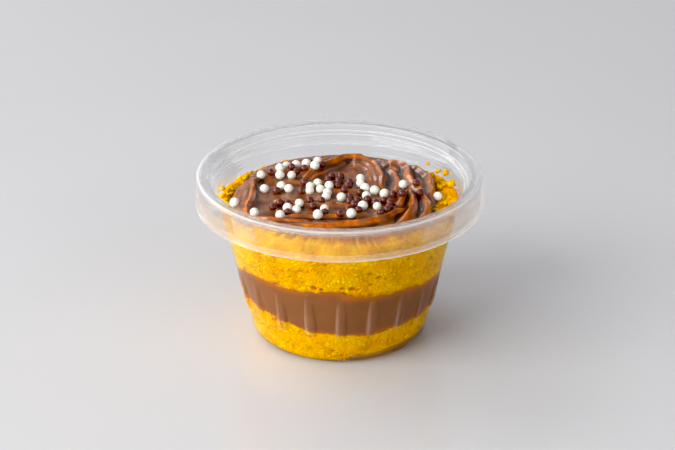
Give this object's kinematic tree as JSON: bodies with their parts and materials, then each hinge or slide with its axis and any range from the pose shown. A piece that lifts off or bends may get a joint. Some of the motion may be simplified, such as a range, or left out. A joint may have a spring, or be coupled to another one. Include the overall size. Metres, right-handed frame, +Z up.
{
  "type": "carrot cake dessert pot",
  "caption": "Clear ribbed plastic dessert pot filled with layers of yellow carrot cake and chocolate filling, under swirled frosting scattered with sugar pearls.",
  "frame": {"origin": "middle of the pot's base, on the surface it stands on", "axes": "+Z up through the pot's mouth, -Y the pot's front as pictured, +X to the right"},
  "size_m": [0.105, 0.105, 0.0627],
  "materials": {
    "clear_plastic": "thin clear glossy thermoformed plastic",
    "sponge": "matt crumbly yellow carrot sponge",
    "chocolate_filling": "smooth satin milk chocolate filling",
    "chocolate_frosting": "glossy swirled milk chocolate frosting",
    "white_pearl": "matt cream-white sugar pearl",
    "brown_pearl": "satin dark chocolate pearl"
  },
  "bodies": {
    "root": {"cup": "clear_plastic", "cake_lower": "sponge", "filling": "chocolate_filling", "cake_upper": "sponge", "frosting": "chocolate_frosting"}
  },
  "joints": []
}
